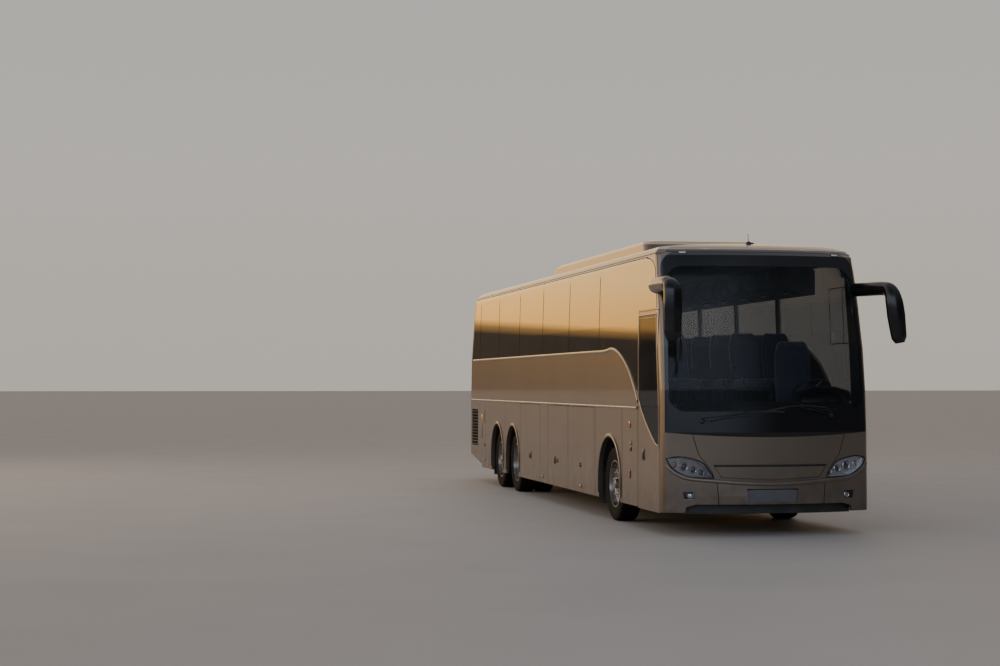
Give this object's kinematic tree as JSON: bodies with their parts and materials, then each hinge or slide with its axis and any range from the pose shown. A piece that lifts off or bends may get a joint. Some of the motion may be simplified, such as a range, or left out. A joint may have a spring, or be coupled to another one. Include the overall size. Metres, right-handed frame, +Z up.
{
  "type": "three-axle touring coach bus",
  "caption": "High-deck touring coach with bonded side glass, raked windscreen, luggage doors, swinging plug door, steered front wheels, twin drive wheels and a tag axle",
  "frame": {"origin": "on the ground, on the coach's own middle plane, halfway along the coach with its mirrors", "axes": "+Z up, -Y ahead of the coach, +X its own left side (the driver's side)"},
  "size_m": [2.9417, 13.5875, 3.655],
  "materials": {
    "body_paint": "champagne metallic",
    "dark_trim": "satin black",
    "side_glass": "dark tinted",
    "screen_glass": "light tint",
    "lamp_glass": "clear moulded",
    "lamp_bowl": "reflective",
    "lamp_red": "moulded red",
    "tyre": "rubber",
    "rim": "bright machined",
    "chassis": "satin black",
    "axle_iron": "rough cast",
    "cabin_trim": "soft grey",
    "seat_fabric": "woven moquette",
    "housing_black": "gloss black",
    "floor_sheet": "ribbed sheet",
    "engine_iron": "painted cast"
  },
  "bodies": {
    "coach_body": {"side_wall_right": "body_paint", "side_wall_left": "body_paint", "side_glass": "side_glass", "skirt_panels_right": "body_paint", "skirt_panels_left": "body_paint", "side_grilles": "body_paint", "roof_panel": "body_paint", "roof_unit": "body_paint", "front_frame": "body_paint", "windscreen": "screen_glass", "front_corners": "body_paint", "front_flap": "body_paint", "front_bumper": "body_paint", "headlamps": "lamp_bowl", "headlamp_lenses": "lamp_glass", "rear_wall": "body_paint", "rear_glass": "side_glass", "rear_bumper": "body_paint", "tail_lamps": "lamp_red", "floor_deck": "floor_sheet", "front_platform": "floor_sheet", "luggage_bay": "cabin_trim", "underframe": "chassis", "wheel_housings": "dark_trim", "front_axle_beam": "axle_iron", "drive_axle": "axle_iron", "tag_axle": "axle_iron", "air_springs": "tyre", "engine_block": "engine_iron", "mirrors": "housing_black", "wipers": "dark_trim", "seats": "seat_fabric", "dashboard": "cabin_trim"},
    "luggage_door_right_1": {"luggage_door_right_1": "body_paint"},
    "luggage_door_right_2": {"luggage_door_right_2": "body_paint"},
    "luggage_door_right_3": {"luggage_door_right_3": "body_paint"},
    "knuckle_right": {"knuckle_right": "axle_iron"},
    "front_wheel_right": {"front_rim_right": "rim", "front_tyre_right": "tyre"},
    "drive_wheels_right": {"drive_rims_right": "rim", "drive_tyres_right": "tyre"},
    "tag_wheel_right": {"tag_rim_right": "rim", "tag_tyre_right": "tyre"},
    "luggage_door_left_1": {"luggage_door_left_1": "body_paint"},
    "luggage_door_left_2": {"luggage_door_left_2": "body_paint"},
    "luggage_door_left_3": {"luggage_door_left_3": "body_paint"},
    "knuckle_left": {"knuckle_left": "axle_iron"},
    "front_wheel_left": {"front_rim_left": "rim", "front_tyre_left": "tyre"},
    "drive_wheels_left": {"drive_rims_left": "rim", "drive_tyres_left": "tyre"},
    "tag_wheel_left": {"tag_rim_left": "rim", "tag_tyre_left": "tyre"},
    "engine_door": {"engine_door": "body_paint"},
    "door_swing_post": {"door_swing_post": "chassis"},
    "front_door": {"front_door": "body_paint", "front_door_glass": "side_glass"}
  },
  "joints": [
    {"name": "luggage_door_right_1_hinge", "type": "hinge", "parent": "coach_body", "child": "luggage_door_right_1", "pos_m": [-1.275, -2.105, 1.454], "axis": [0, 1, 0], "range_deg": [0, 85]},
    {"name": "luggage_door_right_2_hinge", "type": "hinge", "parent": "coach_body", "child": "luggage_door_right_2", "pos_m": [-1.275, -0.665, 1.454], "axis": [0, 1, 0], "range_deg": [0, 85]},
    {"name": "luggage_door_right_3_hinge", "type": "hinge", "parent": "coach_body", "child": "luggage_door_right_3", "pos_m": [-1.275, 1.33, 1.454], "axis": [0, 1, 0], "range_deg": [0, 85]},
    {"name": "steering_right", "type": "hinge", "parent": "coach_body", "child": "knuckle_right", "pos_m": [-0.96, -3.71, 0.479], "axis": [0, 0, 1], "range_deg": [-40, 40]},
    {"name": "front_wheel_right_spin", "type": "hinge", "parent": "knuckle_right", "child": "front_wheel_right", "pos_m": [-1.082, -3.71, 0.479], "axis": [1, 0, 0], "continuous": true},
    {"name": "drive_wheels_right_spin", "type": "hinge", "parent": "coach_body", "child": "drive_wheels_right", "pos_m": [-1.082, 2.72, 0.479], "axis": [1, 0, 0], "continuous": true},
    {"name": "tag_wheel_right_spin", "type": "hinge", "parent": "coach_body", "child": "tag_wheel_right", "pos_m": [-1.082, 4.06, 0.479], "axis": [1, 0, 0], "continuous": true},
    {"name": "luggage_door_left_1_hinge", "type": "hinge", "parent": "coach_body", "child": "luggage_door_left_1", "pos_m": [1.275, -2.105, 1.454], "axis": [0, -1, 0], "range_deg": [0, 85]},
    {"name": "luggage_door_left_2_hinge", "type": "hinge", "parent": "coach_body", "child": "luggage_door_left_2", "pos_m": [1.275, -0.665, 1.454], "axis": [0, -1, 0], "range_deg": [0, 85]},
    {"name": "luggage_door_left_3_hinge", "type": "hinge", "parent": "coach_body", "child": "luggage_door_left_3", "pos_m": [1.275, 1.33, 1.454], "axis": [0, -1, 0], "range_deg": [0, 85]},
    {"name": "steering_left", "type": "hinge", "parent": "coach_body", "child": "knuckle_left", "pos_m": [0.96, -3.71, 0.479], "axis": [0, 0, 1], "range_deg": [-40, 40]},
    {"name": "front_wheel_left_spin", "type": "hinge", "parent": "knuckle_left", "child": "front_wheel_left", "pos_m": [1.082, -3.71, 0.479], "axis": [1, 0, 0], "continuous": true},
    {"name": "drive_wheels_left_spin", "type": "hinge", "parent": "coach_body", "child": "drive_wheels_left", "pos_m": [1.082, 2.72, 0.479], "axis": [1, 0, 0], "continuous": true},
    {"name": "tag_wheel_left_spin", "type": "hinge", "parent": "coach_body", "child": "tag_wheel_left", "pos_m": [1.082, 4.06, 0.479], "axis": [1, 0, 0], "continuous": true},
    {"name": "engine_door_hinge", "type": "hinge", "parent": "coach_body", "child": "engine_door", "pos_m": [0, 6.79, 1.43], "axis": [1, 0, 0], "range_deg": [0, 75]},
    {"name": "door_swing", "type": "hinge", "parent": "coach_body", "child": "door_swing_post", "pos_m": [-1.12, -5.88, 1.3], "axis": [0, 0, 1], "range_deg": [0, 140]},
    {"name": "front_door_level", "type": "hinge", "parent": "door_swing_post", "child": "front_door", "pos_m": [-1.09436, -5.46078, 1.3], "axis": [0, 0, 1], "range_deg": [-140, 0]}
  ],
  "couplings": [
    {"joint": "steering_left", "follows": "steering_right", "ratio": 1},
    {"joint": "front_door_level", "follows": "door_swing", "ratio": -1}
  ]
}
